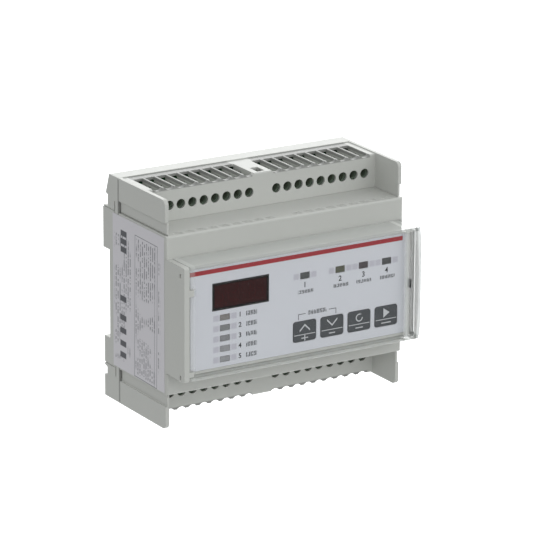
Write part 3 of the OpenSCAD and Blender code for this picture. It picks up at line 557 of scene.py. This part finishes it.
# %% Side sticker
def side_sticker():
    film_lilac = rgb(203, 201, 205)
    film = Print("side_sticker", film_lilac, 0.4)
    _, y, height = film.axes()
    low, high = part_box("side_label")
    tilt = 0.018
    depth = 0 - y - height * tilt
    z = height - y * tilt

    frame_middle = (28.2 * mm, (low.z + high.z) / 2 - 1.7 * mm)
    frame_size = (17.2 * mm, 56.4 * mm)
    ruled = film.outline(depth, z, frame_middle, *frame_size, 0.24 * mm)
    ruled = ruled | (film.bar(depth, z, frame_middle, *frame_size) * film.within(
        depth, 34.8 * mm, 35.0 * mm, 0.05 * mm))

    column_pitch = 1.55 * mm
    columns = film.within(film.fraction(depth / column_pitch), 0.2, 0.62, 0.12)
    run = film.node("ShaderNodeMapping", {}, {"Vector": film.place, "Scale": (1, 0.65, 1)})
    dashes = film.clamp((film.noise(0.9 * mm, 1, run) - 0.42) * 14)
    patches = film.clamp((film.noise(8 * mm, 0) - 0.38) * 16)
    blocks = [(frame_middle[0], 15.6 * mm, 54 * mm), (10.2 * mm, 12.5 * mm, 50 * mm),
              (38.4 * mm, 1.5 * mm, 44 * mm)]
    inside = any_of([film.bar(depth, z, (at, frame_middle[1]), width, tall, 0.2 * mm)
                     for at, width, tall in blocks])
    bold = any_of([film.bar(depth, z, (11 * mm, at * mm), 4.6 * mm, 2.3 * mm, 0.3 * mm)
                   for at in (27.2, 24.0, 20.8, 1.2, -6.4, -11.6, -16.8, -21.4)])

    cloud = film.noise(12 * mm, 2)
    film.put("Base Color", film.paint(film_lilac, [
        (cloud * 0.1, rgb(196, 194, 200)),
        (columns * dashes * patches * inside * 0.8, rgb(96, 96, 102)),
        (bold, rgb(74, 75, 80)), (ruled, rgb(92, 93, 100))]))
    fine = film.noise(0.18 * mm, 2)
    film.put("Roughness", 0.38 + fine * 0.1)
    film.bump(fine, thin_skin)
    return film.material


skins["sticker"] = side_sticker()

# %% [markdown]
# The door is a thin clear skin over the whole front. Seen straight on it is almost nothing, so its
# alpha is close to 0 there. It rises at grazing angles, through the facing value of Layer Weight, and
# along the thick edges, which masks pick out. These edges carry painted light and shade in place of
# refraction: the top and bottom walls are painted pale, the lip at the right end grey for the shade
# seen through its thick wall with a pale rim at its outer edge, and a pale band just inside the lip
# lightens the shaded housing edge behind the door. The shade inside the snap slot behind the right
# edge is painted as one more dark mask. Real refraction would also work, but through two walls it
# would blur the print behind it.

# %% Clear door
def clear_plastic():
    clear_white = rgb(236, 238, 236)
    clear = Print("clear_acrylic", clear_white, 0.06)
    x, y, z = clear.axes()
    low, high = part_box("clear_door")
    soft, wall = 0.15 * mm, 1.4 * mm
    haze = clear.noise(3.5 * mm, 3)
    grazing = clear.node("ShaderNodeLayerWeight", {}, {"Blend": 0.5}, output="Facing")
    # Painted light and shade in place of refraction: the lip grey for the shade seen through the thick
    # right wall, and the rim and the walls pale.
    lip = clear.clamp((x - high.x + 2.7 * mm) / soft)
    rim = clear.clamp((x - high.x + 1.5 * mm) / soft)
    side = clear.clamp((x - high.x + 0.25 * mm) / (0.1 * mm))
    hinge_bar = clear.clamp((low.x + 2.4 * mm - x) / soft)
    walls = 1 - clear.within(z, low.z + wall, high.z - wall, soft)
    # A pale band of painted light over the shaded housing edge behind the door.
    painted_light_band = clear.within(x, high.x - 6.6 * mm, high.x - 4.9 * mm, 0.5 * mm)
    # The shade inside the snap slot, painted as a dark bar.
    slot_shade_spot = (high.x - 3.3 * mm, (low.z + high.z) / 2)
    slot_shade = clear.bar(x, z, slot_shade_spot, 0.6 * mm, 4.3 * mm) * clear.clamp(
        (y - low.y - 2.6 * mm) / soft)
    clear.put("Base Color", clear.paint(clear_white, [
        (walls, rgb(206, 208, 204)), (lip, rgb(150, 152, 149)), (rim, rgb(212, 215, 213)),
        (slot_shade, rgb(24, 24, 25))]))
    thick = lip * 0.68 - side * 0.36 + painted_light_band * 0.3 + hinge_bar * 0.12 + walls * 0.42
    clear.put("Alpha", clear.clamp(slot_shade + thick + grazing ** 3 * 0.8 + haze * 0.006 + 0.005))
    clear.put("Roughness", 0.05 + haze * 0.03)
    return clear.material


skins["clear_plastic"] = clear_plastic()

# %% [markdown]
# The display hides behind a smoked red filter, which lets only the red digits through when they are
# lit. The filter is built with real thickness, and its refraction comes from transmission with the
# plastic's own index. A plain dark red would look painted on, while this lets the unlit bars show
# through. A black border runs round its edge.

# %% Red filter
def red_filter():
    smoked = Print("smoked_filter", (0.30, 0.012, 0.014), 0.05)
    x, _, z = smoked.axes()
    two_borders = 1.2 * mm
    glass = smoked.bar(x, z, window_spot, window_size.x - two_borders, window_size.z - two_borders,
                       0.5 * mm)
    haze = smoked.noise(5 * mm, 2)
    ruby = smoked.blend(haze, (0.16, 0.008, 0.010, 1), (0.22, 0.012, 0.014, 1))
    smoked.put("Base Color", smoked.blend(glass, (0.004, 0.003, 0.003, 1), ruby))
    smoked.put("Transmission Weight", 0.85)
    smoked.put("IOR", 1.49)
    smoked.put("Roughness", 0.05 + haze * 0.05)
    return smoked.material


skins["red_window"] = red_filter()
print("filter", [round(v / mm, 1) for v in window_size])

# %% [markdown]
# The indicators are milky light guides that carry the glow of a lamp on the board to the front. Unlit,
# each shows a little of the lamp's own tint, so most of them get a grey of their own. Scattered light
# inside the guide could be traced for real, but at this size a cloudy tint looks the same and renders
# without noise. A thin coat gives the polished tip of the guide.

# %% Light guides
def light_guide(name, colour):
    guide = Finish(name, colour, 0.3)
    cloud = guide.noise(1.2 * mm, 2)
    fine = guide.noise(0.15 * mm, 2)
    guide.put("Base Color", guide.blend(cloud, scaled(colour, 0.82), scaled(colour, 1.1)))
    guide.put("Roughness", 0.26 + fine * 0.12)
    guide.put("Coat Weight", 0.3)
    guide.bump(fine, thin_skin)
    return guide.material


skins["indicator_grey"] = light_guide("milky_guide", rgb(152, 153, 155))
tinted = {
    "value_led_1": light_guide("warm_guide", rgb(133, 129, 126)),
    "value_led_2": light_guide("dusk_guide", rgb(129, 131, 131)),
    "value_led_3": light_guide("mist_guide", rgb(136, 137, 139)),
    "status_led_1": light_guide("slate_guide", rgb(87, 90, 89)),
    "status_led_2": light_guide("olive_guide", rgb(93, 95, 81)),
    "status_led_3": light_guide("mauve_guide", rgb(84, 78, 80)),
    "status_led_4": light_guide("dark_guide", rgb(82, 83, 83)),
}
print("guides with a tint of their own:", len(tinted))

# %% [markdown]
# A mould leaves a small radius on every outer edge, and that radius catches the light as a thin bright
# line. The built pieces have sharp edges, so each visible moulding is copied, its loose triangles are
# merged and flattened into whole faces, and a narrow bevel is applied to all edges sharper than a set
# angle. The rear base keeps its triangles, as its long faces with many corners would fold over when
# they are bevelled. Weighted normals then keep the large faces flat in the light. A rounded edge can
# also be faked in the finish, but then it is missing from the mesh that others will use. The copy
# stands for the piece it was made from and moves with the same body.

# %% Softened copies of the mouldings
body_of = {member: body for body, members in frame["record"]["behaviour"]["bodies"].items()
           for member in members}
slot_of = {row["node"]: row["material_slot"] for row in frame["record"]["subparts"]}
sharp, flat, weld = math.radians(35), math.radians(0.1), 0.002 * mm


def alone(piece):
    """Makes a piece the only selected one, because an operator acts on all that is selected."""
    bpy.ops.object.select_all(action="DESELECT")
    piece.select_set(True)
    bpy.context.view_layer.objects.active = piece


def keep(piece, body, finish):
    """Gives a new piece its finish and says what it moves with."""
    piece.data.materials.clear()
    piece.data.materials.append(finish)
    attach(piece, body)


def merged_copy(node, name):
    """Copies a built piece and joins its loose triangles at their corners."""
    piece = bpy.data.objects.new(name, nodes[node].data.copy())
    bpy.context.scene.collection.objects.link(piece)
    alone(piece)
    bpy.ops.object.mode_set(mode="EDIT")
    bpy.ops.mesh.select_all(action="SELECT")
    bpy.ops.mesh.remove_doubles(threshold=weld)
    bpy.ops.object.mode_set(mode="OBJECT")
    return piece


def soften(node, width):
    piece = merged_copy(node, node + "_soft")
    if node != "rear_base":
        bpy.ops.object.mode_set(mode="EDIT")
        bpy.ops.mesh.dissolve_limited(angle_limit=flat)
        bpy.ops.object.mode_set(mode="OBJECT")
    bpy.ops.object.shade_smooth_by_angle(angle=sharp)
    bpy.ops.object.modifier_add(type="BEVEL")
    bevel = piece.modifiers[-1]
    bevel.width = width
    bevel.segments = 2
    bevel.limit_method = "ANGLE"
    bevel.angle_limit = sharp
    bevel.use_clamp_overlap = False
    bpy.ops.object.modifier_apply(modifier=bevel.name)
    bpy.ops.object.modifier_add(type="WEIGHTED_NORMAL")
    piece.modifiers[-1].keep_sharp = True
    bpy.ops.object.modifier_apply(modifier=piece.modifiers[-1].name)
    keep(piece, body_of[node], tinted.get(node) or skins[slot_of[node]])
    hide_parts(node)
    return piece


edge_widths = {"rear_base": 0.18 * mm, "front_housing": 0.16 * mm, "upper_terminal_cover": 0.14 * mm,
               "lower_terminal_cover": 0.14 * mm, "display_window": 0.15 * mm,
               "rail_latch_left": 0.2 * mm, "rail_latch_right": 0.2 * mm}
edge_widths |= {name: 0.18 * mm for name in key_names}
edge_widths |= {name: 0.1 * mm for name in value_leds + status_leds}
for name, width in edge_widths.items():
    piece = soften(name, width)
    print(piece.name, len(piece.data.polygons), "faces")

# %% [markdown]
# The two latch springs are wound from round wire. A new coil could be swept along a helix, but the
# built one already has the right pitch and place. It is only coarse, so its copy is subdivided once,
# which rounds the wire. A latch shortens its spring as it slides.

# %% Latch springs
for side in ("left", "right"):
    node = "latch_spring_" + side
    coil = merged_copy(node, "wound_spring_" + side)
    bpy.ops.object.modifier_add(type="SUBSURF")
    coil.modifiers[-1].levels = coil.modifiers[-1].render_levels = 1
    bpy.ops.object.modifier_apply(modifier=coil.modifiers[-1].name)
    bpy.ops.object.shade_smooth()
    coil.data.materials.clear()
    coil.data.materials.append(skins[slot_of[node]])
    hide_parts(node)
    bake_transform(coil)
    print(coil.name, len(coil.data.polygons), "faces")

# %% [markdown]
# Everything that isn't copied keeps its built shape and takes the finish of its own kind: the boards,
# blocks, clamps, screws, relays, capacitors and the rest. The slots of the record say which kind each
# piece is, which is safer than going by names, because no piece can be forgotten.

# %% Finishes of the other pieces
for name, piece in nodes.items():
    piece.data.materials.clear()
    piece.data.materials.append(skins[slot_of[name]])
print("finishes used:", len({slot_of[name] for name in nodes}))

# %% [markdown]
# Behind the red filter sit four digits of seven bars each, unlit. One bar is modelled first: a block
# whose four edges from front to back are bevelled until its ends are pointed. Bars could also be typed
# in as points, but a bevel keeps their slant right at any size.

# %% One digit bar
bar_long, bar_thick, bar_proud = 3.2 * mm, 0.62 * mm, 0.06 * mm
bpy.ops.object.select_all(action="DESELECT")
bpy.ops.mesh.primitive_cube_add(size=1, location=(0, 0, 0))
digit_bar = bpy.context.object
bpy.ops.object.mode_set(mode="EDIT")
bpy.ops.mesh.select_all(action="SELECT")
bpy.ops.transform.resize(value=(bar_long, bar_proud, bar_thick))
bpy.ops.mesh.select_all(action="DESELECT")
bpy.ops.object.mode_set(mode="OBJECT")
for line in digit_bar.data.edges:
    start, end = (digit_bar.data.vertices[v].co for v in line.vertices)
    line.select = abs(start.y - end.y) > bar_proud / 2
bpy.ops.object.mode_set(mode="EDIT")
bpy.ops.mesh.select_mode(type="EDGE")
bpy.ops.mesh.bevel(offset=bar_thick * 0.48, segments=1)
bpy.ops.object.mode_set(mode="OBJECT")
print("one bar:", len(digit_bar.data.polygons), "faces")

# %% [markdown]
# The bar is copied to the places of all the bars, three lying and four upright in each digit, and the
# copies are joined into one piece, because they share one finish and never move apart.

# %% All the digit bars
digits_low, digits_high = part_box("digit_display")
digit_count = 4
digit_step = (digits_high.x - digits_low.x) / digit_count
digit_mid = (digits_high.z + digits_low.z) / 2
half = bar_long / 2 + bar_thick * 0.15
places = [(0, 2, 0), (0, 0, 0), (0, -2, 0), (-1, 1, 1), (1, 1, 1), (-1, -1, 1), (1, -1, 1)]
bars = []
for digit in range(digit_count):
    centre = digits_low.x + digit_step * (digit + 0.5)
    for side_step, up_step, upright in places:
        copy = bpy.data.objects.new("digit_bar", digit_bar.data.copy())
        bpy.context.scene.collection.objects.link(copy)
        turn = Matrix.Rotation(math.radians(90 * upright), 4, "Y")
        place = Vector((centre + side_step * half, digits_low.y, digit_mid + up_step * half))
        copy.data.transform(Matrix.Translation(place) @ turn)
        bars.append(copy)
bpy.data.objects.remove(digit_bar)


def joined(pieces, name):
    alone(pieces[0])
    for piece in pieces:
        piece.select_set(True)
    bpy.ops.object.join()
    bpy.context.object.name = name
    return bpy.context.object


digit_bars = joined(bars, "digit_bars")
keep(digit_bars, "housing",
     moulded("unlit_bar", rgb(120, 108, 110), 0.4, depth=thin_skin))
print("digit bars:", len(bars))

# %% [markdown]
# Plain numbers stand beside the indicators, as on a dial. A mask could draw a straight digit, but the
# curves of a 2 or a 3 come cleaner from a font. A number starts as a text object, is made a little
# bolder, is turned into a mesh with a hair of thickness, and is then stood upright at its place.

# %% Numbers on the film
hair, boldness, size_over_height = 0.01 * mm, 0.055 * mm, 1.4


def number(text, x, z, height):
    bpy.ops.object.select_all(action="DESELECT")
    bpy.ops.object.text_add(location=(0, 0, 0))
    label = bpy.context.object
    label.data.body = text
    label.data.size = height * size_over_height
    label.data.extrude = hair
    label.data.offset = boldness
    label.data.align_x = "CENTER"
    label.data.align_y = "CENTER"
    bpy.ops.object.convert(target="MESH")
    label = bpy.context.object
    place = Matrix.Translation((x, film_low.y - 0.008 * mm, z))
    label.data.transform(place @ Matrix.Rotation(math.radians(90), 4, "X"))
    return label


numbers = [number(str(i + 1), x + 6.6 * mm, z, 1.9 * mm)
           for i, (x, z) in enumerate(spots_of(value_leds))]
numbers += [number(str(i + 1), x, z - 3.7 * mm, 2.1 * mm)
            for i, (x, z) in enumerate(spots_of(status_leds))]
legend = joined(numbers, "legend_numbers")
keep(legend, "housing",
     moulded("legend_ink", rgb(40, 40, 42), 0.45, depth=0.002 * mm))
print("numbers:", len(numbers), "faces:", len(legend.data.polygons))

# %% [markdown]
# The table is a matt white sheet with a trace of tone. It glows a little and is darker on the left, so
# the ground stays pure white behind the device and the left side still falls off. A white lamp on the
# table could do this too, but it would also light the underside of the device.

# %% Table finish
white = Finish("table_white", (0.78, 0.785, 0.78), 0.9)
lit = white.clamp((white.axes()[0] + 0.9) / 1.0)
paper = white.blend(white.noise(400 * mm, 1), (0.77, 0.775, 0.77, 1), (0.79, 0.795, 0.79, 1))
white.put("Base Color", white.blend(lit, (0.3, 0.3, 0.3, 1), paper))
white.put("Emission Color", white.blend(lit, (0, 0, 0, 1), (0.98, 0.99, 1, 1)))
white.put("Emission Strength", 0.4)
table.data.materials.append(white.material)
